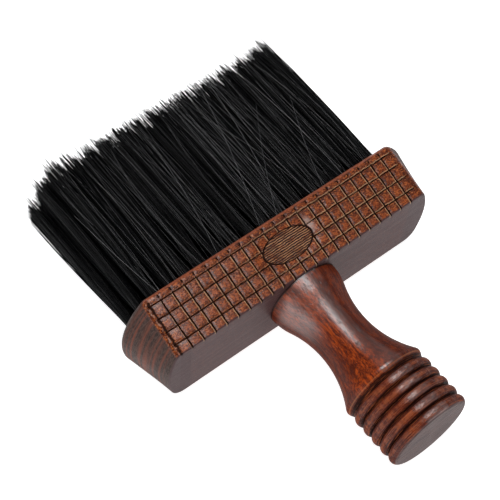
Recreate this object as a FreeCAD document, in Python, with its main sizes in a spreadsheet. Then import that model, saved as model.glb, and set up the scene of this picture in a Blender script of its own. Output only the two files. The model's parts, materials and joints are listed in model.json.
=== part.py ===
import FreeCAD, Part
import math
import os
import Sketcher
from FreeCAD import Placement, Rotation, Vector

# Barber's neck duster: carved hardwood head, turned handle, tufted nylon bristles.
# Modelled upright: z runs along the handle from the knob's end face towards the
# bristle tips, x along the head, and the carved face looks towards -y.
# Every finished piece is then laid down on its back, carved face up.

os.makedirs("parts", exist_ok=True)
doc = FreeCAD.newDocument("neck_duster")

SIZES = {
    # head block
    "head_bottom": 87.0,
    "head_top": 115.2,
    "half_length_bottom": 71.3,
    "half_length_top": 69.8,
    "half_depth_bottom": 18.9,
    "half_depth_top": 28.0,
    "end_bulge_bottom": 4.2,
    "end_bulge_top": 12.8,
    "top_edge_radius": 2.4,
    "back_corner_radius": 7.5,
    "front_corner_radius": 3.5,
    "bottom_edge_radius": 0.8,
    # carving on the front face
    "groove_width": 0.8,
    "groove_depth": 0.6,
    "column_pitch": 6.33,
    "column_count": 21,
    "column_over_run": 0.3,
    "tick_gap": 1.3,
    "tick_length": 1.0,
    "row_pitch": 6.2,
    "row_count": 4,
    "first_row_rise": 4.7,
    "oval_half_length": 13.3,
    "oval_half_height": 6.95,
    "oval_rise": 13.9,
    "oval_groove": 0.5,
    "oval_plug_depth": 1.2,
    "hatch_pitch": 1.0,
    "hatch_width": 0.5,
    "hatch_depth": 0.35,
    # handle
    "handle_top": 86.8,
    "collar_radius": 18.6,
    "waist_radius": 13.2,
    "waist_rise": 58.5,
    "waist_curve": 50.0,
    "lip_radius": 21.1,
    "lip_curve": 2.2,
    "bead_radius": 21.2,
    "bead_groove_radius": 19.4,
    "bead_pitch": 5.5,
    "bead_first": 5.2,
    "bead_count": 4,
    "bead_curve": 3.4,
    "end_face_radius": 18.9,
    # dowel screw joining head and handle
    "screw_radius": 3.9,
    "screw_core_radius": 3.0,
    "screw_length": 44.0,
    "screw_in_head": 15.0,
    "screw_pitch": 2.5,
    "screw_clearance": 0.15,
    "screw_point": 5.0,
    # tufts
    "hole_radius": 2.5,
    "hole_depth": 9.0,
    "tuft_root_radius": 2.2,
    "tuft_root_gap": 0.4,
    "tuft_pitch": 9.0,
    "tuft_row_gap": 10.0,
    "tuft_lean": 1.7,
    "tuft_length": 82.5,
    "tuft_spread_length": 52.0,
    "tuft_spread_radius": 4.2,
    "tuft_tip_radius": 4.0,
    "tuft_end_drop": 6.0,
    # flat wire anchors that hold each folded tuft
    "anchor_length": 4.4,
    "anchor_thickness": 0.5,
    "anchor_height": 2.0,
    "anchor_sink": 6.0,
    "anchor_clearance": 0.2,
}

sheet = doc.addObject("Spreadsheet::Sheet", "sizes")
for line, (alias, size) in enumerate(SIZES.items(), start=1):
    sheet.set("A%d" % line, alias)
    sheet.set("B%d" % line, str(size))
    sheet.setAlias("B%d" % line, alias)
doc.recompute()


def size(alias):
    """A driving dimension, read back from the sheet."""
    return float(sheet.get(alias))


def bind(obj, prop, expression):
    """Bind a property to sheet cells; every @name in the expression is an alias."""
    obj.setExpression(prop, expression.replace("@", "sizes."))


def origin_plane(body, role):
    """One of the body's own origin planes."""
    return next(f for f in body.Origin.OriginFeatures if f.Role == role)


def new_body(name):
    body = doc.addObject("PartDesign::Body", name)
    body.Label = name
    return body


def new_sketch(body, name, role, offset=None):
    sketch = body.newObject("Sketcher::SketchObject", name)
    sketch.AttachmentSupport = [(origin_plane(body, role), "")]
    sketch.MapMode = "FlatFace"
    if offset is not None:
        sketch.AttachmentOffset = offset
    return sketch


def add_polygon(sketch, points):
    """A closed outline of straight lines."""
    corners = [Vector(x, y, 0) for x, y in points]
    for first, second in zip(corners, corners[1:] + corners[:1]):
        sketch.addGeometry(Part.LineSegment(first, second))


def arc_through(first, middle, last):
    ends = [Vector(x, y, 0) for x, y in (first, middle, last)]
    return Part.Arc(*ends)


# ---------------------------------------------------------------- head block
def head_outline(body, name, level, half_length, half_depth, bulge):
    """Long outline with straight front and back and bowed ends."""
    sketch = new_sketch(body, name, "XY_Plane")
    bind(sketch, "AttachmentOffset.Base.z", "@" + level)
    a, d, b = size(half_length), size(half_depth), size(bulge)
    front = sketch.addGeometry(Part.LineSegment(Vector(-a, -d, 0), Vector(a, -d, 0)))
    right = sketch.addGeometry(arc_through((a, -d), (a + b, 0), (a, d)))
    back = sketch.addGeometry(Part.LineSegment(Vector(a, d, 0), Vector(-a, d, 0)))
    left = sketch.addGeometry(arc_through((-a, d), (-a - b, 0), (-a, -d)))
    joins = [(front, 2, right, 1), (right, 2, back, 1), (back, 2, left, 1), (left, 2, front, 1)]
    for join in joins:
        sketch.addConstraint(Sketcher.Constraint("Coincident", *join))
    sketch.addConstraint(Sketcher.Constraint("Symmetric", front, 1, front, 2, -2))
    sketch.addConstraint(Sketcher.Constraint("Horizontal", back))
    drives = [
        ("DistanceY", (front, 2, back, 1), 2 * d, "2 * @" + half_depth),
        ("DistanceX", (-1, 1, front, 2), a, "@" + half_length),
        ("DistanceY", (front, 2, -1, 1), d, "@" + half_depth),
        ("DistanceX", (-1, 1, back, 1), a, "@" + half_length),
        ("DistanceX", (back, 2, -1, 1), a, "@" + half_length),
    ]
    for kind, where, value, expression in drives:
        index = sketch.addConstraint(Sketcher.Constraint(kind, *where, value))
        bind(sketch, "Constraints[%d]" % index, expression)
    for arc in (right, left):
        radius = (d * d + b * b) / (2 * b)
        index = sketch.addConstraint(Sketcher.Constraint("Radius", arc, radius))
        bind(sketch, "Constraints[%d]" % index,
             "(@{0}^2 + @{1}^2) / (2 * @{1})".format(half_depth, bulge))
    return sketch


def front_lean():
    """Angle, in degrees, by which the front face leans out towards the bristles."""
    run = size("half_depth_top") - size("half_depth_bottom")
    return math.degrees(math.atan2(run, size("head_top") - size("head_bottom")))


def on_front(rise, inset=0.0):
    """(y, z) of a point a slant distance up the front face, set in by a depth."""
    lean = math.radians(front_lean())
    y = -size("half_depth_bottom") - rise * math.sin(lean) + inset * math.cos(lean)
    z = size("head_bottom") + rise * math.cos(lean) + inset * math.sin(lean)
    return y, z


def slant_rise(upright):
    """Slant distance on the front face for an upright distance."""
    return upright / math.cos(math.radians(front_lean()))


def edges_where(feature, test):
    names = []
    for number, edge in enumerate(feature.Shape.Edges, start=1):
        if test(edge):
            names.append("Edge%d" % number)
    return names


def edge_middle(edge):
    return edge.valueAt((edge.FirstParameter + edge.LastParameter) / 2)


def is_level(edge, level):
    box = edge.BoundBox
    return abs(box.ZMin - level) < 1e-3 and abs(box.ZMax - level) < 1e-3


def fillet(body, name, feature, edges, radius_alias):
    rounding = body.newObject("PartDesign::Fillet", name)
    rounding.Base = (feature, edges)
    rounding.Radius = size(radius_alias)
    bind(rounding, "Radius", "@" + radius_alias)
    doc.recompute()
    return rounding


head_body = new_body("head_body")
bottom_outline = head_outline(head_body, "head_bottom_outline", "head_bottom",
                              "half_length_bottom", "half_depth_bottom", "end_bulge_bottom")
top_outline = head_outline(head_body, "head_top_outline", "head_top",
                           "half_length_top", "half_depth_top", "end_bulge_top")
block = head_body.newObject("PartDesign::AdditiveLoft", "block")
block.Profile = top_outline
block.Sections = [bottom_outline]
block.Ruled = True
doc.recompute()

back_corners = edges_where(
    block, lambda e: not is_level(e, size("head_top")) and not is_level(e, size("head_bottom"))
    and edge_middle(e).y > 0)
block = fillet(head_body, "back_corners", block, back_corners, "back_corner_radius")
front_corners = edges_where(
    block, lambda e: e.Length > 20 and edge_middle(e).y < -size("half_depth_bottom")
    and abs(edge_middle(e).x) > 60 and not is_level(e, size("head_top")))
block = fillet(head_body, "front_corners", block, front_corners, "front_corner_radius")
top_edges = edges_where(block, lambda e: is_level(e, size("head_top")))
block = fillet(head_body, "top_rounding", block, top_edges, "top_edge_radius")
bottom_edges = edges_where(block, lambda e: is_level(e, size("head_bottom")))
block = fillet(head_body, "bottom_rounding", block, bottom_edges, "bottom_edge_radius")


def front_plane_sketch(body, name):
    """Sketch on the leaning front face: x along the head, y up the slant."""
    lean = front_lean()
    base = Vector(0, -size("half_depth_bottom"), size("head_bottom"))
    turn = Rotation(Vector(1, 0, 0), 90 + lean)
    return new_sketch(body, name, "XY_Plane", Placement(base, turn))


def cut(body, name, sketch, length, both_ways=False, backwards=False):
    pocket = body.newObject("PartDesign::Pocket", name)
    pocket.Profile = sketch
    pocket.Length = length
    pocket.Midplane = both_ways
    pocket.Reversed = backwards
    doc.recompute()
    return pocket


def require_removed(name, before, feature):
    """Check that a cut, or a pattern of cuts, really took wood away."""
    if not before - feature.Shape.Volume > 0.5:
        raise RuntimeError(name + " removed nothing")


def checked_cut(body, name, sketch, length, **ways):
    before = body.Tip.Shape.Volume
    pocket = cut(body, name, sketch, length, **ways)
    require_removed(name, before, pocket)
    return pocket


# long grooves: small triangles on the cross-section, cut along the whole front
row_sketch = new_sketch(head_body, "row_grooves_profile", "YZ_Plane")
half_groove = size("groove_width") / 2
skin = 0.3
for row in range(int(size("row_count"))):
    rise = slant_rise(size("first_row_rise") + row * size("row_pitch"))
    spread = half_groove * (1 + skin / size("groove_depth"))
    add_polygon(row_sketch, [on_front(rise - spread, -skin), on_front(rise + spread, -skin),
                             on_front(rise, size("groove_depth"))])
checked_cut(head_body, "row_grooves", row_sketch, 4 * size("half_length_bottom"), both_ways=True)

# short grooves: one triangle at the left, cut up the slant and repeated
column_end = slant_rise(size("first_row_rise") + (size("row_count") - 1) * size("row_pitch"))
first_column = -size("column_pitch") * (size("column_count") - 1) / 2


def column_cuts(name, low, high):
    """A groove up the slant between two rises at the left, repeated along the head."""
    start = on_front((low + high) / 2)
    across = Placement(Vector(0, *start), Rotation(Vector(1, 0, 0), front_lean()))
    profile = new_sketch(head_body, name + "_profile", "XY_Plane", across)
    spread = half_groove * (1 + skin / size("groove_depth"))
    add_polygon(profile, [(first_column - spread, -skin), (first_column + spread, -skin),
                          (first_column, size("groove_depth"))])
    before = head_body.Tip.Shape.Volume
    single = cut(head_body, name, profile, high - low, both_ways=True)
    repeated = head_body.newObject("PartDesign::LinearPattern", name + "s")
    repeated.Originals = [single]
    repeated.Direction = (profile, ["H_Axis"])
    repeated.Length = size("column_pitch") * (size("column_count") - 1)
    bind(repeated, "Length", "@column_pitch * (@column_count - 1)")
    repeated.Occurrences = int(size("column_count"))
    head_body.Tip = repeated
    doc.recompute()
    require_removed(name, before, repeated)


column_cuts("column_groove", -3.0, column_end + size("column_over_run"))
tick_low = column_end + size("tick_gap")
column_cuts("column_tick", tick_low, tick_low + size("tick_length"))

# oval panel: plain wood put back over the grid, then outlined and hatched
oval_rise = slant_rise(size("oval_rise"))
oval_centre = Vector(0, oval_rise, 0)


def add_oval(sketch, grow):
    a = size("oval_half_length") + grow
    b = size("oval_half_height") + grow
    sketch.addGeometry(Part.Ellipse(oval_centre + Vector(a, 0, 0),
                                    oval_centre + Vector(0, b, 0), oval_centre))


plug_sketch = front_plane_sketch(head_body, "oval_panel_outline")
add_oval(plug_sketch, 0)
plug = head_body.newObject("PartDesign::Pad", "oval_panel")
plug.Profile = plug_sketch
plug.Reversed = True
plug.Length = size("oval_plug_depth")
bind(plug, "Length", "@oval_plug_depth")
doc.recompute()

ring_sketch = front_plane_sketch(head_body, "oval_groove_outline")
add_oval(ring_sketch, size("oval_groove") / 2)
add_oval(ring_sketch, -size("oval_groove") / 2)
checked_cut(head_body, "oval_groove", ring_sketch, size("oval_groove"))

hatch_sketch = front_plane_sketch(head_body, "hatch_lines")
hatch_half = size("hatch_width") / 2
hatch_lines = int(2 * size("oval_half_height") / size("hatch_pitch"))
for line in range(hatch_lines):
    offset = (line - (hatch_lines - 1) / 2) * size("hatch_pitch")
    share = max(0.0, 1 - (offset / size("oval_half_height")) ** 2)
    reach = size("oval_half_length") * math.sqrt(share) - 0.3
    if reach < 2 * size("hatch_width"):
        continue
    low, high = oval_rise + offset - hatch_half, oval_rise + offset + hatch_half
    add_polygon(hatch_sketch, [(-reach, low), (reach, low), (reach, high), (-reach, high)])
checked_cut(head_body, "hatching", hatch_sketch, size("hatch_depth"))

# socket for the dowel screw
socket_sketch = new_sketch(head_body, "screw_socket_outline", "XY_Plane")
bind(socket_sketch, "AttachmentOffset.Base.z", "@head_bottom")
circle = socket_sketch.addGeometry(Part.Circle(Vector(), Vector(0, 0, 1), size("screw_radius")))
radius = socket_sketch.addConstraint(Sketcher.Constraint("Radius", circle, size("screw_radius")))
bind(socket_sketch, "Constraints[%d]" % radius, "@screw_radius + @screw_clearance")
socket = checked_cut(head_body, "screw_socket", socket_sketch, size("screw_in_head") + 0.5,
                     backwards=True)
bind(socket, "Length", "@screw_in_head + 0.5")
doc.recompute()


# ---------------------------------------------------------------- tufts
ROWS = [("front", -2, 15), ("front_middle", -1, 16), ("middle", 0, 17),
        ("back_middle", 1, 16), ("back", 2, 15)]


def tuft_spots(row_step, count):
    """Placement of each tuft in a row: base on the head's top face, leaning outwards."""
    y = row_step * size("tuft_row_gap")
    turn = Rotation(Vector(1, 0, 0), -row_step * size("tuft_lean"))
    for number in range(count):
        x = (number - (count - 1) / 2) * size("tuft_pitch")
        yield number, Placement(Vector(x, y, size("head_top")), turn)


def primitive(kind, name, place, rise, **bindings):
    """A Part primitive standing at a rise along a tuft's own axis."""
    solid = doc.addObject("Part::" + kind, name)
    for prop, expression in bindings.items():
        bind(solid, prop, expression)
    solid.Placement = place.multiply(Placement(Vector(0, 0, rise), Rotation()))
    return solid


def flat_box(name, place, clearance):
    """An anchor strip, or its slot when a clearance is given."""
    box = doc.addObject("Part::Box", name)
    bind(box, "Length", "@anchor_length + 2 * %s" % clearance)
    bind(box, "Width", "@anchor_thickness + 2 * %s" % clearance)
    bind(box, "Height", "@anchor_height + 2 * %s" % clearance)
    gap = size("anchor_clearance") if clearance != "0" else 0.0
    corner = Vector(-size("anchor_length") / 2 - gap, -size("anchor_thickness") / 2 - gap,
                    -size("anchor_sink") - gap)
    box.Placement = place.multiply(Placement(corner, Rotation()))
    return box


def fuse(name, shapes):
    union = doc.addObject("Part::MultiFuse", name)
    union.Shapes = shapes
    return union


def subtract(name, base, tool):
    rest = doc.addObject("Part::Cut", name)
    rest.Base = base
    rest.Tool = tool
    return rest


tuft_nodes = []
anchor_nodes = []
holes = []
for row_name, step, count in ROWS:
    solids = []
    slots = []
    anchors = []
    for number, place in tuft_spots(step, count):
        tag = "%s_%d" % (row_name, number)
        at_end = number in (0, count - 1)
        drop = "@tuft_end_drop" if at_end else "0"
        holes.append(primitive("Cylinder", "hole_" + tag, place, -size("hole_depth"),
                               Radius="@hole_radius", Height="@hole_depth + 2"))
        solids.append(primitive("Cylinder", "root_" + tag, place,
                                size("tuft_root_gap") - size("hole_depth"),
                                Radius="@tuft_root_radius",
                                Height="@hole_depth - @tuft_root_gap"))
        solids.append(primitive("Cone", "spread_" + tag, place, 0.0,
                                Radius1="@tuft_root_radius", Radius2="@tuft_spread_radius",
                                Height="@tuft_spread_length"))
        solids.append(primitive("Cone", "tip_" + tag, place, size("tuft_spread_length"),
                                Radius1="@tuft_spread_radius", Radius2="@tuft_tip_radius",
                                Height="@tuft_length - @tuft_spread_length - " + drop))
        slots.append(flat_box("slot_" + tag, place, "@anchor_clearance"))
        anchors.append(flat_box("strip_" + tag, place, "0"))
    filled = fuse("filled_" + row_name, solids)
    slot_group = fuse("slots_" + row_name, slots)
    tufts = subtract("tufts_" + row_name, filled, slot_group)
    anchor_group = doc.addObject("Part::Compound", "anchors_" + row_name)
    anchor_group.Links = anchors
    tuft_nodes.append(tufts)
    anchor_nodes.append(anchor_group)

hole_group = fuse("tuft_holes", holes)
head = subtract("head_block", head_body, hole_group)
doc.recompute()


# ---------------------------------------------------------------- handle
def profile_sketch(body, name):
    """Half-profile sketch: x is the radius and y runs along the axis."""
    return new_sketch(body, name, "XZ_Plane")


def revolve(body, name, sketch):
    turned = body.newObject("PartDesign::Revolution", name)
    turned.Profile = sketch
    turned.ReferenceAxis = (sketch, ["V_Axis"])
    turned.Angle = 360
    body.Tip = turned
    doc.recompute()
    return turned


def bead_arc(low, high):
    """Convex bead between two grooves."""
    return arc_through((size("bead_groove_radius"), low),
                       (size("bead_radius"), (low + high) / 2),
                       (size("bead_groove_radius"), high))


handle = new_body("handle")
outline = profile_sketch(handle, "handle_outline")
waist = Vector(size("waist_radius") + size("waist_curve"), size("waist_rise"), 0)

# collar arc: level tangent at the top, touching the waist arc
reach = size("handle_top") - waist.y
depth = waist.x - size("collar_radius")
collar_curve = ((reach ** 2 + depth ** 2 - size("waist_curve") ** 2)
                / (2 * (size("waist_curve") - depth)))
collar = Vector(size("collar_radius") - collar_curve, size("handle_top"), 0)
collar_join = collar + (waist - collar) * (collar_curve / (collar_curve + size("waist_curve")))

# lip arc: widest at the lip radius, touching the waist arc from below
lip_x = size("lip_radius") - size("lip_curve")
lip_gap = size("waist_curve") + size("lip_curve")
lip = Vector(lip_x, waist.y - math.sqrt(lip_gap ** 2 - (waist.x - lip_x) ** 2), 0)
lip_join = lip + (waist - lip) * (size("lip_curve") / lip_gap)
groove_tops = [size("bead_first") + size("bead_pitch") * n
               for n in range(int(size("bead_count")) + 1)]
last_groove = groove_tops[-1]


def on_circle(centre, curve, degrees):
    angle = math.radians(degrees)
    return centre + Vector(math.cos(angle), math.sin(angle), 0) * curve


def turned_arc(centre, curve, first, last):
    """Arc about a centre from one point to another, the short way round."""
    middle = (first + last) * 0.5 - centre
    middle = centre + middle * (curve / middle.Length)
    return Part.Arc(first, middle, last)


collar_top = Vector(size("collar_radius"), size("handle_top"), 0)
lip_low = on_circle(lip, size("lip_curve"), -35)
groove_foot = Vector(size("bead_groove_radius"), last_groove, 0)
end_edge = Vector(size("end_face_radius"), 0, 0)
end_low = Vector(size("bead_groove_radius"), size("bead_first"), 0)
pieces = [
    Part.LineSegment(Vector(0, 0, 0), end_edge),
    arc_through((end_edge.x, end_edge.y),
                (size("bead_radius") - 0.1, size("bead_first") * 0.5), (end_low.x, end_low.y)),
]
for low, high in zip(groove_tops, groove_tops[1:]):
    pieces.append(bead_arc(low, high))
pieces += [
    Part.LineSegment(groove_foot, lip_low),
    turned_arc(lip, size("lip_curve"), lip_low, lip_join),
    turned_arc(waist, size("waist_curve"), lip_join, collar_join),
    turned_arc(collar, collar_curve, collar_join, collar_top),
    Part.LineSegment(collar_top, Vector(0, size("handle_top"), 0)),
    Part.LineSegment(Vector(0, size("handle_top"), 0), Vector(0, 0, 0)),
]
for piece in pieces:
    outline.addGeometry(piece)
top_line = len(pieces) - 2
axis_line = len(pieces) - 1
revolve(handle, "turning", outline)

bore_depth = size("screw_length") - size("screw_in_head")
bore_sketch = new_sketch(handle, "screw_bore_outline", "XY_Plane")
bind(bore_sketch, "AttachmentOffset.Base.z", "@handle_top")
circle = bore_sketch.addGeometry(Part.Circle(Vector(), Vector(0, 0, 1), size("screw_radius")))
radius = bore_sketch.addConstraint(Sketcher.Constraint("Radius", circle, size("screw_radius")))
bind(bore_sketch, "Constraints[%d]" % radius, "@screw_radius + @screw_clearance")
bore = checked_cut(handle, "screw_bore", bore_sketch, bore_depth + 0.5)
bind(bore, "Length", "@screw_length - @screw_in_head + 0.5")
doc.recompute()


# ---------------------------------------------------------------- dowel screw
screw = new_body("dowel_screw")
screw_outline = profile_sketch(screw, "screw_outline")
screw_low = size("head_bottom") + size("screw_in_head") - size("screw_length")
screw_high = size("head_bottom") + size("screw_in_head")
core = size("screw_core_radius")
corners = [(0, screw_low), (core, screw_low + size("screw_point"))]
threads = int((size("screw_length") - 2 * size("screw_point")) / size("screw_pitch"))
thread_start = screw_low + size("screw_point")
for thread in range(threads):
    foot = thread_start + thread * size("screw_pitch")
    corners.append((core, foot + 0.2 * size("screw_pitch")))
    corners.append((size("screw_radius"), foot + 0.5 * size("screw_pitch")))
    corners.append((core, foot + 0.8 * size("screw_pitch")))
corners += [(core, screw_high - size("screw_point")), (0, screw_high)]
add_polygon(screw_outline, corners)
revolve(screw, "screw_turning", screw_outline)


# ---------------------------------------------------------------- laying down
def lying(tilt):
    """Upright frame to lying frame: on its back, bristle end raised by the tilt."""
    return Rotation(Vector(1, 0, 0), math.degrees(tilt) - 90)


finished = [head, handle, screw] + tuft_nodes + anchor_nodes
tilt = 0.0
for _ in range(4):
    # level the lowest points of the knob and of the head's back edge
    lowest = []
    for piece in (handle, head):
        shape = piece.Shape.copy()
        shape.Placement = Placement(Vector(), lying(tilt)).multiply(shape.Placement)
        lowest.append(shape.optimalBoundingBox(False).ZMin)
    tilt += (lowest[0] - lowest[1]) / (size("head_top") - size("bead_first"))
turn = lying(tilt)

lows = []
highs = []
for piece in finished:
    shape = piece.Shape.copy()
    shape.Placement = Placement(Vector(), turn).multiply(shape.Placement)
    box = shape.optimalBoundingBox(False)
    lows.append((box.YMin, box.ZMin))
    highs.append(box.YMax)
middle = (min(y for y, _ in lows) + max(highs)) / 2
floor = min(z for _, z in lows)
laid = Placement(Vector(0, -middle, -floor), turn)
for piece in finished:
    piece.Placement = laid
doc.recompute()

for obj in doc.Objects:
    if "Invalid" in obj.State or "Error" in obj.State:
        raise RuntimeError("bad object: " + obj.Label)
    shape = getattr(obj, "Shape", None)
    if shape is not None and obj.TypeId != "Sketcher::SketchObject" and hasattr(shape, "isNull"):
        if obj in finished and (shape.isNull() or not shape.isValid()):
            raise RuntimeError("bad shape: " + obj.Label)

for piece in finished:
    piece.Shape.exportStep("parts/%s.step" % piece.Label)
    box = piece.Shape.optimalBoundingBox(False)
    print(piece.Label, len(piece.Shape.Solids), "solids",
          "%.1f cm3" % (piece.Shape.Volume / 1000),
          "%.1f %.1f %.1f | %.1f %.1f %.1f" % (box.XMin, box.YMin, box.ZMin,
                                               box.XMax, box.YMax, box.ZMax))
print("tilt %.4f" % math.degrees(tilt), "lean %.2f" % front_lean(), "shift %.3f %.3f" % (-middle, -floor))
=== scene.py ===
import json
import math
import bpy
import numpy as np
from mathutils import Matrix, Vector


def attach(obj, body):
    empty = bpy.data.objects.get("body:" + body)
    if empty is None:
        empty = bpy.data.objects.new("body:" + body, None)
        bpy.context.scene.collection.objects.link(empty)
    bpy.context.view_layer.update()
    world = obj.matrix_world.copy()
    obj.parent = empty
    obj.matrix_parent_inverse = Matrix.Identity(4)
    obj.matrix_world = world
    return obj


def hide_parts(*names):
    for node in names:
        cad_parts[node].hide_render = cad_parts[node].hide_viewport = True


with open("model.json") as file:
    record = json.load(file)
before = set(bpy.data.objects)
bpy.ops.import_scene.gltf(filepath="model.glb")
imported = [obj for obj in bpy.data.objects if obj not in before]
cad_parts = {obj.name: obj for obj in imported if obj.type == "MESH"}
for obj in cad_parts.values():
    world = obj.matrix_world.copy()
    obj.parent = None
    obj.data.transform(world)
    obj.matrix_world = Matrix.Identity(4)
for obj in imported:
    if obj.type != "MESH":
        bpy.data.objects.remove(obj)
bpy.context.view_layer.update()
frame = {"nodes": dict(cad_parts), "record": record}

MM = 0.001

# ------------------------------------------------------------------ where things are
# Upright frame of the brush, in mm: z along the handle from the knob's end face to the
# bristle tips, x along the head, the carved face towards -y. The row frame lays it down,
# and the end face's mount says how.
end_face = frame["record"]["mounts"][0]
TILT = math.degrees(math.asin(-end_face["axis"][2]))
LAID_SHIFT = tuple(1000.0 * v for v in end_face["pos_m"])
HEAD_BOTTOM = 87.0
HEAD_TOP = 115.2
HALF_DEPTH_BOTTOM = 18.9
HALF_DEPTH_TOP = 28.0
LEAN = math.atan2(HALF_DEPTH_TOP - HALF_DEPTH_BOTTOM, HEAD_TOP - HEAD_BOTTOM)
COLUMN_PITCH = 6.33
COLUMN_COUNT = 21
ROW_PITCH = 6.2
FIRST_ROW = HEAD_BOTTOM + 4.7
ROW_COUNT = 4
LAST_ROW = FIRST_ROW + (ROW_COUNT - 1) * ROW_PITCH
OVAL_RISE = 13.9 / math.cos(LEAN)
OVAL_A = 13.3
OVAL_B = 6.95
ROW_END = 69.5
LEFT_CORNER = -69.2
END_START = 62.0
GROWTH_PITCH = 3.5
SHEEN_PATCH_X = 14.2
SHEEN_PATCH_RISE = 103.6
KNOB_TOP = 28.5
BEAD_RADIUS = 21.2
SCUFF_START = 46.0
SCUFF_END = 78.0
TUFT_PITCH = 9.0
TUFT_ROW_GAP = 10.0
TUFT_LEAN = math.radians(1.7)
TUFT_LENGTH = 83.0
TUFT_ROWS = [("front", -2, 15), ("front_middle", -1, 16), ("middle", 0, 17),
             ("back_middle", 1, 16), ("back", 2, 15)]

lay = Matrix.Translation(Vector(LAID_SHIFT)) @ Matrix.Rotation(math.radians(TILT - 90), 4, "X")


def laid(points):
    """Upright points in mm to row-frame points in metres."""
    turn = np.array(lay.to_3x3())
    return (np.asarray(points, float) @ turn.T + np.array(LAID_SHIFT)) * MM


# ------------------------------------------------------------------ node helpers
class Graph:
    """Small helper that adds nodes and wires them from plain values or sockets."""

    def __init__(self, name):
        self.material = bpy.data.materials.new(name)
        self.material.use_nodes = True
        self.tree = self.material.node_tree
        self.shader = self.tree.nodes["Principled BSDF"]

    def node(self, kind, inputs=None, **settings):
        made = self.tree.nodes.new(kind)
        for key, value in settings.items():
            setattr(made, key, value)
        for key, value in (inputs or {}).items():
            self.feed(made.inputs[key], value)
        return made

    def feed(self, socket, value):
        if isinstance(value, bpy.types.NodeSocket):
            self.tree.links.new(value, socket)
        else:
            socket.default_value = value

    def math(self, operation, a, b=0.0, clamp=False):
        return self.node("ShaderNodeMath", {0: a, 1: b}, operation=operation,
                         use_clamp=clamp).outputs[0]

    def ramp(self, value, low, high, out_low=0.0, out_high=1.0):
        made = self.node("ShaderNodeMapRange", {"Value": value, "From Min": low, "From Max": high,
                                                "To Min": out_low, "To Max": out_high},
                         interpolation_type="SMOOTHSTEP")
        return made.outputs["Result"]

    def mix(self, factor, a, b, blend="MIX"):
        made = self.node("ShaderNodeMix", data_type="RGBA", blend_type=blend)
        self.feed(made.inputs["Factor"], factor)
        self.feed(made.inputs["A"], a)
        self.feed(made.inputs["B"], b)
        return made.outputs["Result"]

    def upright(self):
        """Coordinates in the brush's upright frame, in mm."""
        where = self.node("ShaderNodeTexCoord").outputs["Object"]
        shift = tuple(v * MM for v in LAID_SHIFT)
        turned = self.node("ShaderNodeMapping", {"Vector": where, "Location": shift,
                                                 "Rotation": (math.radians(TILT - 90), 0, 0)},
                           vector_type="TEXTURE")
        return self.node("ShaderNodeVectorMath", {0: turned.outputs[0], 1: (1000, 1000, 1000)},
                         operation="MULTIPLY").outputs[0]

    def stretched(self, where, scales):
        return self.node("ShaderNodeVectorMath", {0: where, 1: scales},
                         operation="MULTIPLY").outputs[0]

    def noise(self, where, scale, detail=3.0, rough=0.5, distortion=0.0):
        made = self.node("ShaderNodeTexNoise", {"Vector": where, "Scale": scale, "Detail": detail,
                                                "Roughness": rough, "Distortion": distortion})
        return made.outputs[0]

    def split(self, where):
        parts = self.node("ShaderNodeSeparateXYZ", {0: where})
        return parts.outputs[0], parts.outputs[1], parts.outputs[2]

    def edge_on(self):
        """0 where the surface faces the viewer, 1 where it is seen edge on."""
        return self.node("ShaderNodeLayerWeight", {"Blend": 0.5}).outputs["Facing"]

    def bump(self, height, distance, strength=1.0, socket="Normal"):
        made = self.node("ShaderNodeBump", {"Height": height, "Distance": distance,
                                            "Strength": strength})
        self.feed(self.shader.inputs[socket], made.outputs[0])

    def set(self, **values):
        for key, value in values.items():
            self.feed(self.shader.inputs[key.replace("_", " ")], value)


def rgb(*parts):
    return (*parts, 1.0)


# ------------------------------------------------------------------ wood
def grain_axes(grain, along, across=1.0):
    """Scales that stretch a texture along one axis."""
    scales = [across, across, across]
    scales[grain] = along
    return tuple(scales)


def wood_colour(g, where, grain, blotch, dark, mid, light):
    """Stained hardwood: bands, fibres, mottling and short dark pores along the grain."""
    long_way = g.stretched(where, grain_axes(grain, 0.05))
    fibres = g.noise(long_way, 1.1, 5.0, 0.65, 0.5)
    bands = g.noise(long_way, 0.22, 3.0, 0.55, 1.0)
    pores = g.noise(g.stretched(where, grain_axes(grain, 0.22)), 1.9, 2.0, 0.5)
    mottle = g.noise(g.stretched(where, grain_axes(grain, blotch)), 0.8, 4.0, 0.75)
    colour = g.mix(g.ramp(mottle, 0.40, 0.60), rgb(*mid), rgb(*light))
    colour = g.mix(g.ramp(fibres, 0.60, 0.40, 0.0, 0.55), colour, rgb(*dark))
    colour = g.mix(g.ramp(bands, 0.46, 0.66, 0.0, 0.7), colour, rgb(*dark))
    pore_mask = g.ramp(pores, 0.42, 0.33)
    colour = g.mix(g.math("MULTIPLY", pore_mask, 0.8), colour,
                   rgb(*(0.3 * v for v in dark)))
    return colour, pore_mask, fibres, mottle


def both(g, first, *others):
    """Product of masks."""
    for other in others:
        first = g.math("MULTIPLY", first, other)
    return first


def either(g, first, *others):
    """Largest of several masks."""
    for other in others:
        first = g.math("MAXIMUM", first, other)
    return first


def repeat(g, value, start, pitch):
    """Signed distance to the nearest of a run of lines."""
    moved = g.math("SUBTRACT", value, start - pitch / 2)
    return g.math("SUBTRACT", g.math("FLOORED_MODULO", moved, pitch), pitch / 2)


def band(g, distance, centre, half, soft=0.5):
    """Mask of a line of a half width round a signed distance."""
    near = g.math("ABSOLUTE", g.math("SUBTRACT", distance, centre))
    return g.ramp(near, half, half * soft)


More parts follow.
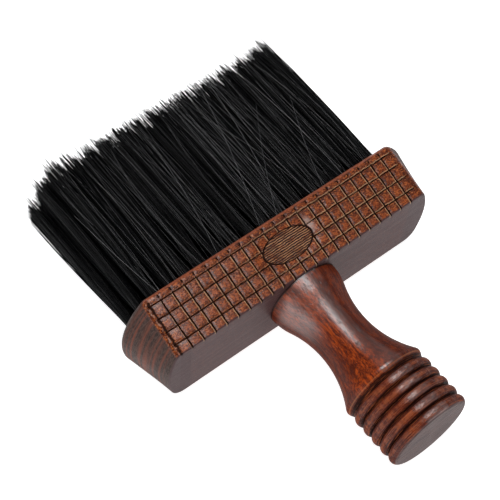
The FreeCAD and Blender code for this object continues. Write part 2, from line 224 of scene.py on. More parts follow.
def carving(g, where):
    """Masks and heights of the carved grid, the hatched oval and the scraped, rounded wood round them, and
    the mask of a painted highlight on the squares right of the oval.
    """
    x, y, z = g.split(where)
    wobble = g.noise(where, 0.35, 2.0, 0.5)
    shift = g.ramp(wobble, 0.3, 0.7, -0.16, 0.16)
    first = -COLUMN_PITCH * (COLUMN_COUNT - 1) / 2
    column = g.math("ADD", repeat(g, x, first, COLUMN_PITCH), shift)
    row = g.math("ADD", repeat(g, z, FIRST_ROW, ROW_PITCH), shift)
    slant = g.math("DIVIDE", g.math("SUBTRACT", z, HEAD_BOTTOM), math.cos(LEAN))
    from_oval = g.math("SUBTRACT", slant, OVAL_RISE)
    oval = g.node("ShaderNodeCombineXYZ", {0: g.math("DIVIDE", x, OVAL_A),
                                           1: g.math("DIVIDE", from_oval, OVAL_B)}).outputs[0]
    radius = g.node("ShaderNodeVectorMath", {0: oval}, operation="LENGTH").outputs["Value"]
    inset = g.math("ADD", g.math("MULTIPLY", g.math("ADD", y, HALF_DEPTH_BOTTOM), math.cos(LEAN)),
                   g.math("MULTIPLY", g.math("SUBTRACT", z, HEAD_BOTTOM), math.sin(LEAN)))
    on_front = g.ramp(inset, 1.6, 0.9)
    outside = g.ramp(radius, 1.0, 1.03)
    reach = abs(first) + 0.5
    rows_on = both(g, g.ramp(z, LAST_ROW + 1.2, LAST_ROW + 1.0),
                   g.ramp(g.math("ABSOLUTE", x), ROW_END, ROW_END - 2.0), outside, on_front)
    columns_on = both(g, g.ramp(g.math("ABSOLUTE", x), reach + 0.1, reach),
                      g.ramp(z, LAST_ROW + 0.7, LAST_ROW + 0.4), outside, on_front)
    ticks_on = both(g, g.ramp(g.math("ABSOLUTE", x), reach + 0.1, reach), on_front,
                    band(g, z, LAST_ROW + 1.9, 0.9, 0.6))
    dark = either(g, both(g, band(g, column, 0.05, 0.52), either(g, columns_on, ticks_on)),
                  both(g, band(g, row, -0.08, 0.38), rows_on))
    # the rows' pale lower edges, paler bare wood with a painted highlight on it, fade out towards the left
    lit_from = g.math("ADD", x, g.ramp(wobble, 0.3, 0.7, -20.0, 20.0))
    lit_rows = g.ramp(lit_from, -45.0, 25.0, 0.1, 1.0)
    # pale edges beside the columns and rows: paler bare wood with a painted highlight
    pale_lit_edge = either(g, both(g, band(g, column, -0.60, 0.26), columns_on),
                  both(g, band(g, row, 0.44, 0.22), rows_on, lit_rows))
    ring = both(g, band(g, radius, 1.0, 0.055), on_front)
    inside = both(g, g.ramp(radius, 0.97, 0.94), on_front)
    hatch_at = repeat(g, g.math("ADD", from_oval, shift), 0.0, 1.0)
    hatch = both(g, band(g, hatch_at, 0.0, 0.40, 0.4), inside)
    slat = both(g, band(g, hatch_at, 0.5, 0.22, 0.4), inside)
    slat = either(g, slat, both(g, band(g, hatch_at, -0.5, 0.22, 0.4), inside))
    across = g.ramp(g.math("ABSOLUTE", column), COLUMN_PITCH * 0.12, COLUMN_PITCH * 0.42)
    upwards = g.ramp(g.math("ABSOLUTE", row), ROW_PITCH * 0.12, ROW_PITCH * 0.42)
    flat = g.ramp(g.math("ABSOLUTE", column), 0.2, 1.8)
    flat_up = g.ramp(g.math("ABSOLUTE", row), 0.2, 1.8)
    near_front = g.ramp(inset, 6.0, 2.0)
    swell = both(g, flat, flat_up, outside, near_front)
    # the wood is scraped down towards the oval and rolls over at the left end
    dish = g.math("MAXIMUM", g.ramp(radius, 1.0, 1.5), g.ramp(inset, 3.0, 24.0))
    roll = g.math("MINIMUM", g.math("MAXIMUM", g.math("SUBTRACT", first - 0.6, x), 0.0), 5.6)
    # a patch of squares right of the oval gets a painted highlight, a greyish-pink sheen
    wear_and_sheen = g.node("ShaderNodeVectorMath", {0: g.node("ShaderNodeCombineXYZ", {
        0: g.math("SUBTRACT", x, SHEEN_PATCH_X),
        1: g.math("MULTIPLY", g.math("SUBTRACT", z, SHEEN_PATCH_RISE), 0.55)
    }).outputs[0]}, operation="LENGTH").outputs["Value"]
    wear_and_sheen = both(g, g.ramp(wear_and_sheen, 2.8, 0.8), g.ramp(radius, 1.0, 1.1), on_front)
    cell = g.node("ShaderNodeCombineXYZ", {
        0: g.math("FLOOR", g.math("DIVIDE", g.math("SUBTRACT", x, first), COLUMN_PITCH)),
        1: g.math("FLOOR", g.math("DIVIDE", g.math("SUBTRACT", z, FIRST_ROW), ROW_PITCH))})
    tint = g.node("ShaderNodeTexWhiteNoise", {"Vector": cell.outputs[0]}).outputs["Value"]
    middle = both(g, across, upwards, on_front)
    return {"dark": dark, "pale_lit_edge": pale_lit_edge, "ring": ring, "inside": inside, "hatch": hatch,
            "slat": slat, "swell": swell, "dish": dish, "roll": roll, "tint": tint,
            "middle": middle, "inset": inset, "wear_and_sheen": wear_and_sheen}


def head_wood():
    g = Graph("head_wood")
    where = g.upright()
    x, y, z = g.split(where)
    colour, pores, fibres, mottle = wood_colour(
        g, where, 0, 0.5, (0.060, 0.010, 0.003), (0.17, 0.030, 0.007), (0.38, 0.080, 0.015))
    marks = carving(g, where)
    # squares: paler, more orange middles, dark rims and a little difference between squares
    speck = g.noise(g.stretched(where, (0.7, 1.0, 1.0)), 1.5, 3.0, 0.7)
    colour = g.mix(g.math("MULTIPLY", marks["middle"], 0.45), colour, rgb(0.42, 0.085, 0.018))
    colour = g.mix(g.ramp(marks["tint"], 0.2, 1.0, 0.0, 0.30), colour, rgb(0.13, 0.022, 0.007))
    rim = g.math("SUBTRACT", 1.0, marks["middle"])
    colour = g.mix(g.math("MULTIPLY", rim, 0.45), colour, rgb(0.055, 0.010, 0.004))
    colour = g.mix(g.ramp(speck, 0.50, 0.62, 0.0, 0.85), colour, rgb(0.036, 0.007, 0.004))
    colour = g.mix(g.ramp(speck, 0.48, 0.36, 0.0, 0.65), colour, rgb(0.56, 0.17, 0.050))
    # thin orange growth lines show on the bowed, dark ends
    layer = g.node("ShaderNodeCombineXYZ", {0: g.math("MULTIPLY", x, 0.02),
                                            1: g.math("MULTIPLY", y, 0.05), 2: z}).outputs[0]
    drift = g.ramp(g.noise(layer, 0.16, 2.0, 0.5), 0.3, 0.7, -2.2, 2.2)
    growth = repeat(g, g.math("ADD", z, drift), HEAD_BOTTOM + 3.0, GROWTH_PITCH)
    faint = g.ramp(g.noise(layer, 0.5, 2.0, 0.5), 0.35, 0.6, 0.25, 0.95)
    stripe = both(g, band(g, growth, 0.0, 1.35, 0.0), faint,
                  g.ramp(z, HEAD_BOTTOM + 1, HEAD_BOTTOM + 7))
    end = both(g, g.ramp(marks["inset"], 0.7, 1.8), g.ramp(g.math("ABSOLUTE", x), END_START, END_START + 3.0))
    end_fibre = g.noise(g.stretched(where, (0.5, 0.25, 1.6)), 1.5, 3.0, 0.65)
    end_colour = g.mix(g.ramp(end_fibre, 0.38, 0.62), rgb(0.024, 0.012, 0.009),
                       rgb(0.070, 0.036, 0.028))
    end_colour = g.mix(stripe, end_colour, rgb(0.15, 0.040, 0.022))
    colour = g.mix(end, colour, end_colour)
    # left corner: a dark scored line with a pale ridge beside it, worn wood with a painted highlight on it
    corner = both(g, g.ramp(marks["inset"], 1.6, 0.8), g.ramp(z, LAST_ROW + 2.4, LAST_ROW + 1.6))
    nick = g.ramp(g.noise(where, 0.5, 2.0, 0.6), 0.3, 0.7, -0.35, 0.35)
    from_edge = g.math("ADD", g.math("SUBTRACT", x, LEFT_CORNER), nick)
    chipped = g.ramp(g.noise(where, 0.7, 2.0, 0.6), 0.42, 0.55)
    worn_and_lit_ridge = both(g, band(g, from_edge, -0.9, 0.5, 0.3), corner, chipped)
    score = both(g, band(g, from_edge, 0.2, 0.85, 0.5), corner)
    # painted highlight on the corner's worn ridge
    colour = g.mix(g.math("MULTIPLY", worn_and_lit_ridge, 0.65), colour, rgb(0.40, 0.24, 0.18))
    # smooth faces below and round the bristles; the lower face's greyish pink is partly its own duller tone
    # and partly a painted reflection of the white table
    below = g.ramp(z, HEAD_BOTTOM + 0.9, HEAD_BOTTOM + 0.3)
    soft_streaks = g.noise(g.stretched(where, (0.04, 1.0, 1.0)), 0.8, 3.0, 0.5)
    # painted reflection of the white table mixed into the lower face's colour
    below_tone_and_reflection = g.mix(soft_streaks, rgb(0.052, 0.028, 0.030), rgb(0.094, 0.052, 0.054))
    colour = g.mix(g.math("MULTIPLY", below, 0.9), colour, below_tone_and_reflection)
    above = g.ramp(z, LAST_ROW + 2.6, LAST_ROW + 3.6)
    above = both(g, above, g.math("SUBTRACT", 1.0, end))
    colour = g.mix(g.math("MULTIPLY", above, 0.65), colour, rgb(0.33, 0.090, 0.045))
    # oval and lines
    colour = g.mix(g.math("MULTIPLY", marks["inside"], 0.4), colour, rgb(0.20, 0.055, 0.020))
    patchy = g.ramp(g.noise(g.stretched(where, (0.3, 1.0, 1.0)), 0.5, 3.0, 0.6), 0.35, 0.6)
    colour = g.mix(g.math("MULTIPLY", both(g, marks["slat"], patchy), 0.85), colour,
                   rgb(0.56, 0.27, 0.12))
    colour = g.mix(g.math("MULTIPLY", marks["hatch"], 0.9), colour, rgb(0.018, 0.008, 0.006))
    # pale groove edges: paler bare wood with a painted highlight
    colour = g.mix(g.math("MULTIPLY", marks["pale_lit_edge"], 0.65), colour, rgb(0.60, 0.36, 0.20))
    # painted highlight: the greyish-pink patch right of the oval
    rub_and_sheen = g.ramp(speck, 0.3, 0.7, 0.3, 0.9)
    colour = g.mix(both(g, marks["wear_and_sheen"], rub_and_sheen), colour, rgb(0.46, 0.33, 0.29))
    lines = either(g, marks["dark"], marks["ring"], score)
    colour = g.mix(g.math("MULTIPLY", lines, 0.93), colour, rgb(0.014, 0.006, 0.004))
    dull = either(g, below, end, g.math("MULTIPLY", corner, g.ramp(from_edge, 0.9, 0.4)))
    edge_on = g.edge_on()
    gloss = both(g, g.ramp(dull, 0.0, 1.0, 0.75, 0.18), g.math("SUBTRACT", 1.0, lines),
                 g.ramp(edge_on, 0.60, 0.95, 1.0, 0.03))
    g.set(Base_Color=colour, Roughness=g.ramp(fibres, 0.3, 0.7, 0.44, 0.58), IOR=1.4,
          Specular_IOR_Level=0.06, Coat_Weight=gloss, Coat_Roughness=0.25, Coat_IOR=1.5)
    # heights in mm
    shape = g.math("ADD", g.math("MULTIPLY", marks["swell"], 0.15),
                   g.math("MULTIPLY", marks["dish"], 0.5))
    shape = g.math("SUBTRACT", shape, g.math("MULTIPLY", marks["roll"], 0.16))
    shape = g.math("SUBTRACT", shape, g.math("MULTIPLY", marks["hatch"], 0.2))
    fine = g.math("ADD", g.math("MULTIPLY", pores, -0.06), g.math("MULTIPLY", mottle, 0.18))
    fine = g.math("SUBTRACT", fine, g.math("MULTIPLY", speck, 0.12))
    g.bump(g.math("ADD", shape, fine), 0.001)
    g.bump(g.math("ADD", shape, g.math("MULTIPLY", fine, 0.5)), 0.001, socket="Coat Normal")
    return g.material


def handle_wood():
    g = Graph("handle_wood")
    where = g.upright()
    x, y, z = g.split(where)
    colour, pores, fibres, mottle = wood_colour(
        g, where, 2, 0.22, (0.040, 0.005, 0.002), (0.15, 0.018, 0.003), (0.42, 0.062, 0.006))
    flat_xy = g.node("ShaderNodeCombineXYZ", {0: x, 1: y}).outputs[0]
    radius = g.node("ShaderNodeVectorMath", {0: flat_xy}, operation="LENGTH").outputs["Value"]
    # ripples across the grain, as light catches curly wood
    curl = g.noise(g.stretched(where, (0.25, 0.25, 1.0)), 0.9, 2.0, 0.5, 0.6)
    streaks = g.noise(g.stretched(where, (1.0, 1.0, 0.08)), 0.9, 3.0, 0.6)
    colour = g.mix(g.ramp(streaks, 0.50, 0.66, 0.0, 0.45), colour, rgb(0.46, 0.075, 0.008))
    colour = g.mix(g.ramp(streaks, 0.46, 0.34, 0.0, 0.50), colour, rgb(0.050, 0.008, 0.003))
    # broad painted shade round the turning: the flanks are darkened, leaving an orange strip left of the
    # front
    side = g.math("DIVIDE", x, g.math("MAXIMUM", radius, 1.0))
    tone = g.noise(g.stretched(where, (1.0, 1.0, 0.3)), 0.10, 2.0, 0.5)
    flank_shade = g.math("ABSOLUTE", g.math("ADD", side, g.ramp(tone, 0.3, 0.7, 0.25, 0.60)))
    colour = g.mix(g.ramp(flank_shade, 0.20, 0.55, 0.0, 0.62), colour, rgb(0.052, 0.008, 0.004))
    # darker, redder stain on the beaded knob, darkest in its grooves
    knob = g.ramp(z, KNOB_TOP + 1.5, KNOB_TOP - 1.5)
    colour = g.mix(g.math("MULTIPLY", knob, 0.7), colour, rgb(0.075, 0.012, 0.006))
    groove = both(g, g.ramp(radius, BEAD_RADIUS - 0.3, BEAD_RADIUS - 1.0),
                  g.ramp(z, KNOB_TOP + 1.1, KNOB_TOP + 0.1), g.ramp(z, 2.0, 4.0))
    colour = g.mix(g.math("MULTIPLY", groove, 0.9), colour, rgb(0.014, 0.005, 0.004))
    # lathe lines run round the beads
    rings = g.noise(g.stretched(where, (0.12, 0.12, 2.4)), 1.0, 3.0, 0.6)
    colour = g.mix(both(g, g.ramp(rings, 0.52, 0.66), knob, 0.6), colour, rgb(0.34, 0.085, 0.028))
    colour = g.mix(both(g, g.ramp(rings, 0.46, 0.34), knob, 0.7), colour, rgb(0.020, 0.006, 0.004))
    wear_and_sheen = g.ramp(g.noise(where, 0.3, 3.0, 0.6), 0.4, 0.65)
    crest = both(g, g.ramp(radius, BEAD_RADIUS - 0.3, BEAD_RADIUS - 0.05), knob, wear_and_sheen)
    colour = g.mix(g.math("MULTIPLY", crest, 0.45), colour, rgb(0.38, 0.095, 0.030))
    rim = both(g, g.ramp(radius, BEAD_RADIUS - 0.7, BEAD_RADIUS - 0.3),
               band(g, z, KNOB_TOP + 0.5, 1.2))
    colour = g.mix(g.math("MULTIPLY", rim, 0.6), colour, rgb(0.50, 0.17, 0.06))
    # the end face's greyish pink: its own duller tone with a painted reflection of the white table
    face = g.ramp(z, 0.7, 0.2)
    disc = g.noise(g.stretched(where, (0.15, 1.0, 1.0)), 0.5, 3.0, 0.5)
    colour = g.mix(g.math("MULTIPLY", face, 0.9), colour,
                   g.mix(g.ramp(disc, 0.3, 0.7), rgb(0.048, 0.026, 0.026),
                         rgb(0.110, 0.066, 0.062)))
    # painted shadow: a dark band round the top of the collar, in the gap under the head
    collar_gap_shade = g.ramp(z, HEAD_BOTTOM - 1.1, HEAD_BOTTOM - 0.5)
    colour = g.mix(g.math("MULTIPLY", collar_gap_shade, 0.92), colour, rgb(0.010, 0.004, 0.003))
    # the polish is thin: little of it shows at a glancing angle or down in the grooves,
    # and hands have rubbed the front and scuffed the collar's left side
    scuffed = both(g, g.ramp(z, SCUFF_START, SCUFF_END, 0.1, 0.50), g.ramp(x, 4.0, -8.0),
                   g.math("SUBTRACT", 1.0, knob))
    edge_on = g.edge_on()
    front = g.ramp(g.math("ABSOLUTE", g.math("ADD", side, 0.02)), 0.40, 0.16)
    shiny = either(g, front, g.ramp(scuffed, 0.15, 0.55))
    rub_and_sheen = g.ramp(shiny, 0.0, 1.0, 0.4, 1.0)
    polish = both(g, g.ramp(edge_on, 0.30, 0.65, 1.0, 0.08),
                  g.math("SUBTRACT", 1.0, groove), rub_and_sheen)
    polish = g.mix(face, polish, rgb(0.18, 0.18, 0.18))
    g.set(Base_Color=colour, Roughness=g.ramp(fibres, 0.3, 0.7, 0.46, 0.60), IOR=1.4,
          Specular_IOR_Level=0.04, Coat_Weight=polish, Coat_Roughness=0.32,
          Coat_IOR=g.ramp(shiny, 0.0, 1.0, 1.45, 1.9))
    # heights in mm
    crackle = g.noise(g.stretched(where, (1.0, 1.0, 0.6)), 1.2, 3.0, 0.65)
    fine = g.math("ADD", g.math("MULTIPLY", pores, -0.10), g.math("MULTIPLY", mottle, 0.14))
    fine = g.math("ADD", fine, both(g, crackle, scuffed, 0.45))
    dents = g.noise(g.stretched(where, (1.0, 1.0, 1.4)), 0.45, 3.0, 0.6)
    dents = both(g, dents, knob, g.math("SUBTRACT", 1.0, face))
    shape = g.math("ADD", g.math("MULTIPLY", curl, 0.06), g.math("MULTIPLY", dents, 0.6))
    fine = g.math("ADD", fine, both(g, rings, knob, 0.12))
    g.bump(g.math("ADD", shape, fine), 0.001)
    g.bump(g.math("ADD", shape, g.math("MULTIPLY", fine, 0.5)), 0.001, socket="Coat Normal")
    return g.material


def metal(name, colour, rough):
    g = Graph(name)
    where = g.upright()
    streaks = g.noise(g.stretched(where, (1.0, 1.0, 0.2)), 2.0, 4.0, 0.6)
    tint = g.mix(g.ramp(streaks, 0.3, 0.7), rgb(*(0.8 * v for v in colour)), rgb(*colour))
    g.set(Base_Color=tint, Metallic=1.0, Roughness=g.ramp(streaks, 0.3, 0.7, rough, rough + 0.15))
    g.bump(streaks, 0.00005, 0.4)
    return g.material


def filament():
    g = Graph("black_filament")
    shade = g.node("ShaderNodeAttribute", attribute_name="shade").outputs["Fac"]
    where = g.upright()
    streak = g.noise(g.stretched(where, (1.0, 1.0, 0.03)), 0.8, 3.0, 0.6)
    colour = g.mix(g.ramp(shade, 0.0, 0.9), rgb(0.0004, 0.0004, 0.0006),
                   rgb(0.0015, 0.0016, 0.0024))
    colour = g.mix(g.ramp(shade, 0.94, 1.0), colour, rgb(0.34, 0.34, 0.35))
    colour = g.mix(g.ramp(streak, 0.55, 0.75, 0.0, 0.3), colour, rgb(0.003, 0.0034, 0.008))
    g.set(Base_Color=colour, Roughness=g.ramp(shade, 0.0, 1.0, 0.32, 0.48), IOR=1.5,
          Specular_IOR_Level=g.ramp(shade, 0.5, 1.0, 0.06, 0.40))
    return g.material


def give(obj, material):
    obj.data.materials.clear()
    obj.data.materials.append(material)


nodes = frame["nodes"]
steel = metal("screw_steel", (0.60, 0.60, 0.62), 0.3)
wire = metal("anchor_wire", (0.72, 0.54, 0.24), 0.3)
for name, obj in nodes.items():
    if name == "head_block":
        finish = head_wood()
    elif name == "handle":
        finish = handle_wood()
    elif name == "dowel_screw":
        finish = steel
    elif name.startswith("anchors"):
        finish = wire
    else:
        continue
    for index in range(max(1, len(obj.data.materials))):
        if obj.data.materials:
            obj.data.materials[index] = finish
        else:
            obj.data.materials.append(finish)

# ------------------------------------------------------------------ bristles
SIDES = 3
STRANDS = 320
CLUMPS = 140
ROOT_SPREAD = 2.1
FLARE = 6.0
DEPTH_FLARE = 1.25
END_TUFT_FLARE = 0.3
END_FLARE = (-0.5, -0.7)
END_FAN = 1.6
SIDE_SET = 3.4
SIDE_SET_SLOPE = 0.016
# mm that clumps fall short of the tufts' full length, and how unevenly
CLUMP_SHORTFALL = 2.6
CLUMP_SCATTER = 0.9
# longer clumps at the two ends, as (x where they begin, extra length)
LEFT_EXTRA = (60.0, 4.2)
RIGHT_EXTRA = (57.0, 3.2)
EXTRA_RAMP = 9.0
BACK_ROW_FLARE = 0.72
POINT_DROP = 4.6
WILD_SHARE = 0.03
SHORT_SHARE = 0.06
PROUD_SHARE = 0.004
GATHER_FROM = 0.74
TAPER_FROM = 0.8
FRONT_BULGE = 5.6
rng = np.random.default_rng(2207)
along = np.array([0.0, 0.14, 0.32, 0.54, 0.74, 0.89, 1.0])


def disc_points(count, radius):
    """Points spread evenly over a disc."""
    reach = radius * np.sqrt(rng.random(count))
    angle = rng.random(count) * 2 * math.pi
    return np.stack([reach * np.cos(angle), reach * np.sin(angle)], 1)


def side_set(x):
    """How far the used bristles have taken a set towards -x by their tips."""
    return SIDE_SET + SIDE_SET_SLOPE * x


def strand_paths(x, step, row_end, count):
    """Centre lines of one tuft's filaments, upright mm: (count, rings, 3)."""
    y = step * TUFT_ROW_GAP
    root = disc_points(count, ROOT_SPREAD)
    depth = DEPTH_FLARE + END_TUFT_FLARE * (abs(x) / 72.0) ** 6
    clump_tip = disc_points(CLUMPS, FLARE) * (1.0, depth)
    clump_length = TUFT_LENGTH - CLUMP_SHORTFALL + rng.normal(0, CLUMP_SCATTER, CLUMPS)
    for outwards, (begins, extra) in ((-x, LEFT_EXTRA), (x, RIGHT_EXTRA)):
        clump_length += extra * min(max((outwards - begins) / EXTRA_RAMP, 0.0), 1.0)
    wanted = root * (FLARE / ROOT_SPREAD) * (1.0, depth) + rng.normal(0, 0.8, (count, 2))
    gap = np.linalg.norm(wanted[:, None, :] - clump_tip[None, :, :], axis=2)
    clump = np.argmin(gap, axis=1)
    tip = clump_tip[clump] + rng.normal(0, 0.07, (count, 2))
    free = wanted + (tip - wanted) * 0.3
    wild = rng.random(count) < WILD_SHARE
    tip[wild] = wanted[wild] + rng.normal(0, 1.2, (int(wild.sum()), 2))
    if step == 2:
        # the back row lies on the table
        for goal in (tip, free):
            goal[:, 1] = np.where(goal[:, 1] > 0, BACK_ROW_FLARE, 1.0) * goal[:, 1]
    # the outermost filaments stay upright at the two ends of the head
    inwards = np.abs(rng.normal(0, 0.6, count)) - row_end - ROOT_SPREAD
    for goal in (tip, free):
        goal[:, 0] = np.clip(x + goal[:, 0], inwards - END_FLARE[0], END_FLARE[1] - inwards) - x
    open_up = (1 - (1 - along) ** 2.1)[None, :, None]
    gather = (np.clip((along - GATHER_FROM) / (1 - GATHER_FROM), 0, 1) ** 1.3)[None, :, None]
    goal = free[:, None, :] * (1 - gather) + tip[:, None, :] * gather
    path = root[:, None, :] + (goal - root[:, None, :]) * open_up
    # the end tufts fan towards the rows beside them, so the brush's corners are filled
    outward = np.clip(math.copysign(1.0, x) * free[:, 0] / FLARE, 0, 1)
    fan = END_FAN * min(1.0, abs(x) / 63.0) ** 8 * outward ** 2
    if abs(step) == 2:
        fan[free[:, 1] * step > 0] = 0.0
    path[:, :, 1] *= 1 + fan[:, None] * along[None, :] ** 3
    phase = rng.random((count, 2)) * 2 * math.pi
    turns = rng.uniform(0.4, 1.1, (count, 2))
    sway = rng.normal(0, 0.4, (count, 2))
    wave = np.sin(turns[:, None, :] * 2 * math.pi * along[None, :, None] + phase[:, None, :])
    fade = (along ** 0.7 * (1 - 0.6 * along))[None, :, None]
    path += sway[:, None, :] * (wave - np.sin(phase)[:, None, :]) * fade
    from_middle = np.linalg.norm(free - clump_tip[clump], axis=1)
    length = clump_length[clump] - POINT_DROP * np.minimum(from_middle, 1.0)
    length -= np.abs(rng.normal(0, 0.4, count))
    short = rng.random(count) < SHORT_SHARE
    length[short] -= rng.uniform(2, 12, int(short.sum()))
    proud = rng.random(count) < PROUD_SHARE
    length[proud] += rng.uniform(2, 5, int(proud.sum()))
    start = -0.8
    z = start + along[None, :] * (length[:, None] - start)
    tilt = step * TUFT_LEAN
    px = x + path[:, :, 0] - side_set(x) * z / TUFT_LENGTH
    py = y + path[:, :, 1] + np.sin(tilt) * z
    pz = HEAD_TOP + z * np.cos(tilt)
    return np.stack([px, py, pz], 2)


def front_face(z):
    """How far forward the used bristles bulge at a height above the head."""
    up = z / TUFT_LENGTH
    bulge = FRONT_BULGE * (1 - (1 - up) ** 2.1)
    return 2 * TUFT_ROW_GAP + 2.5 + np.sin(2 * TUFT_LEAN) * z + bulge


def crossing_paths(ends):
    """Single light hairs laid over the front between ends given one by one."""
    ends = np.array(ends, float)
    z = ends[:, 2:3] + (ends[:, 3:4] - ends[:, 2:3]) * along
    bend = ends[:, 4:5] * np.sin(math.pi * along)
    px = ends[:, 0:1] + (ends[:, 1:2] - ends[:, 0:1]) * along + bend
    return np.stack([px, -front_face(z) - 0.4, HEAD_TOP + z], 2)


def stray_paths(count, centre, spread, lean):
    """Long loose hairs that lie across the front of the brush."""
    x = centre + rng.uniform(-spread, spread, count)
    y = rng.uniform(-0.2, 0.9, count)
    length = rng.uniform(62, 82, count)
    z = along[None, :] * length[:, None]
    bow = rng.normal(0, 1.6, count)
    side = rng.normal(0, lean, count)
    px = x[:, None] + side[:, None] * along + bow[:, None] * np.sin(math.pi * along)
    px = np.clip(px, -66, 66) - side_set(x)[:, None] * z / TUFT_LENGTH
    py = y[:, None] - front_face(z)
    pz = HEAD_TOP + z
    return np.stack([px, py, pz], 2)


def tube_mesh(name, paths, radius, shade):
    """Tapered three-sided tubes round many centre lines, as one mesh."""
    count, rings, _ = paths.shape
    taper = 1.0 - 0.35 * np.clip((along - TAPER_FROM) / (1 - TAPER_FROM), 0, 1)
    turn = rng.random(count) * 2 * math.pi
    corners = turn[:, None] + np.arange(SIDES)[None, :] * 2 * math.pi / SIDES
    ring = np.stack([np.cos(corners), np.sin(corners), np.zeros_like(corners)], 2)
    points = (paths[:, :, None, :]
              + ring[:, None, :, :] * (radius[:, None] * taper[None, :])[:, :, None, None])
    points = laid(points.reshape(-1, 3))
    points[:, 2] = np.maximum(points[:, 2], 0.0)
    base = (np.arange(count)[:, None, None] * rings + np.arange(rings - 1)[None, :, None]) * SIDES
    side = np.arange(SIDES)[None, None, :]
    following = (side + 1) % SIDES
    quads = np.stack([base + side, base + following, base + SIDES + following,
                      base + SIDES + side], 3).reshape(-1, 4)
    mesh = bpy.data.meshes.new(name)
    mesh.vertices.add(len(points))
    mesh.vertices.foreach_set("co", points.astype(np.float32).ravel())
    mesh.loops.add(quads.size)
    mesh.loops.foreach_set("vertex_index", quads.astype(np.int32).ravel())
    mesh.polygons.add(len(quads))
    mesh.polygons.foreach_set("loop_start", np.arange(0, quads.size, 4, dtype=np.int32))
    mesh.polygons.foreach_set("loop_total", np.full(len(quads), 4, dtype=np.int32))
    mesh.update(calc_edges=True)
    mesh.polygons.foreach_set("use_smooth", np.ones(len(quads), dtype=bool))
    values = np.repeat(shade, rings * SIDES).astype(np.float32)
    mesh.attributes.new("shade", "FLOAT", "POINT").data.foreach_set("value", values)
    mesh.validate()
    obj = bpy.data.objects.new(name, mesh)
    bpy.context.scene.collection.objects.link(obj)
    return obj


black = filament()


def add_bristles(name, paths, radius, shade):
    """One mesh of filaments that rides on the brush."""
    thick = rng.uniform(radius[0], radius[1], len(paths))
    bristles = tube_mesh(name, paths, thick, rng.uniform(shade[0], shade[1], len(paths)))
    give(bristles, black)
    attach(bristles, "root")
    return bristles


for row_name, step, tuft_count in TUFT_ROWS:
    row_end = (tuft_count - 1) / 2 * TUFT_PITCH
    paths = [strand_paths(number * TUFT_PITCH - row_end, step, row_end, STRANDS)
             for number in range(tuft_count)]
    row = add_bristles("bristles_" + row_name, np.concatenate(paths), (0.10, 0.15), (0.0, 0.96))
    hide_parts("tufts_" + row_name)

loose = [stray_paths(110, 0.0, 64.0, 2.6), stray_paths(18, 24.0, 18.0, 7.0)]
add_bristles("bristles_loose", np.concatenate(loose), (0.03, 0.05), (0.95, 0.985))
# each hair's x at the bottom and the top, the heights of the two, and the bow between them
CROSSING = [(-4, 17, 0.5, 73, 1.2), (6, 34, 1.0, 52, -1.5), (26, 8, 0.5, 60, 1.8),
            (45, 38, 1.0, 66, 1.0), (33, 50, 0.5, 46, -1.2), (-28, -20, 1.0, 62, 1.4),
            (-47, -52, 0.5, 58, 1.0), (-61, -70, 1.0, 50, -0.8), (14, 22, 20.0, 74, 0.8),
            (58, 47, 0.5, 70, 1.6)]
add_bristles("bristles_crossing", crossing_paths(CROSSING), (0.05, 0.075), (0.97, 0.99))

# ------------------------------------------------------------------ stage, light, camera
def paper():
    """White, softly glowing table: the brush is lit from all round."""
    g = Graph("light_table")
    where = g.node("ShaderNodeTexCoord").outputs["Object"]
    cloud = g.noise(where, 3.0, 2.0, 0.5)
    colour = g.mix(cloud, rgb(0.62, 0.62, 0.625), rgb(0.65, 0.65, 0.655))
    g.set(Base_Color=colour, Roughness=0.8, Emission_Color=rgb(1.0, 1.0, 1.0),
          Emission_Strength=0.93)
    return g.material


FLOOR_SIZE = 12.0
FLOOR_GAP = 0.0002
bpy.ops.mesh.primitive_plane_add(size=FLOOR_SIZE, location=(0, 0, -FLOOR_GAP))
floor = bpy.context.object
floor.name = "floor"
give(floor, paper())

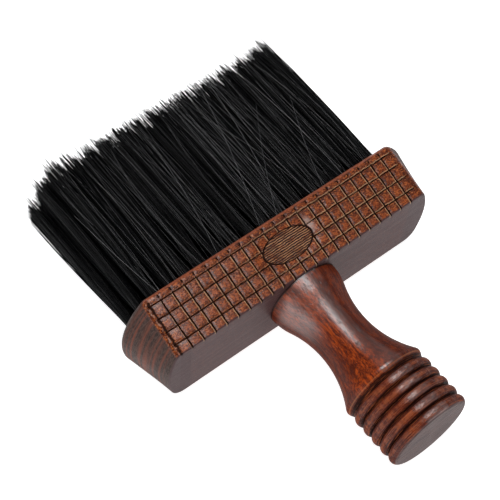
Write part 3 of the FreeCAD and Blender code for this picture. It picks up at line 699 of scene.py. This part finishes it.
# a bright horizon that darkens upwards, so that the softboxes shape the gloss
HORIZON = {"From Min": 0.12, "From Max": 0.42, "To Min": 1.0, "To Max": 0.14}
world = bpy.data.worlds.new("studio")
bpy.context.scene.world = world
world.use_nodes = True
tree = world.node_tree
background = tree.nodes["Background"]
background.inputs["Color"].default_value = rgb(0.97, 0.98, 1.0)
direction = tree.nodes.new("ShaderNodeTexCoord").outputs["Generated"]
parts = tree.nodes.new("ShaderNodeSeparateXYZ")
tree.links.new(direction, parts.inputs[0])
horizon = tree.nodes.new("ShaderNodeMapRange")
horizon.interpolation_type = "SMOOTHSTEP"
for key, value in HORIZON.items():
    horizon.inputs[key].default_value = value
tree.links.new(parts.outputs[2], horizon.inputs["Value"])
tree.links.new(horizon.outputs["Result"], background.inputs["Strength"])


def softbox(name, direction, distance, width, height, watts):
    """A rectangular lamp that looks at the brush from a direction, in metres."""
    data = bpy.data.lights.new(name, "AREA")
    data.shape = "RECTANGLE"
    data.size = width
    data.size_y = height
    data.energy = watts
    lamp = bpy.data.objects.new(name, data)
    bpy.context.scene.collection.objects.link(lamp)
    lamp.location = Vector(direction).normalized() * distance
    lamp.rotation_euler = (-lamp.location).to_track_quat("-Z", "Y").to_euler()


softbox("key", (-0.02, 0.09, 1.0), 1.2, 0.36, 1.15, 10.0)
softbox("left", (-0.97, -0.10, 0.22), 1.2, 0.8, 0.4, 2.5)

# the camera in the upright frame, mm: where it stands, where it looks and which way is down
CAMERA_AT = (-228.5, -512.0, -107.2)
CAMERA_DOWN = Vector((-0.50274, 0.5233, -0.68805))
CAMERA_FORWARD = Vector((0.37048, 0.84957, 0.37544))
LENS = 93.57
SENSOR = 36.0

camera_data = bpy.data.cameras.new("camera")
camera_data.lens = LENS
camera_data.sensor_width = SENSOR
camera = bpy.data.objects.new("camera", camera_data)
bpy.context.scene.collection.objects.link(camera)
right = CAMERA_DOWN.cross(CAMERA_FORWARD)
axes = Matrix((right, -CAMERA_DOWN, -CAMERA_FORWARD)).transposed()
place = lay @ Matrix.Translation(Vector(CAMERA_AT)) @ axes.to_4x4()
camera.matrix_world = Matrix.Translation(place.translation * MM) @ place.to_3x3().to_4x4()
bpy.context.scene.camera = camera
bpy.context.scene.view_settings.view_transform = "Standard"
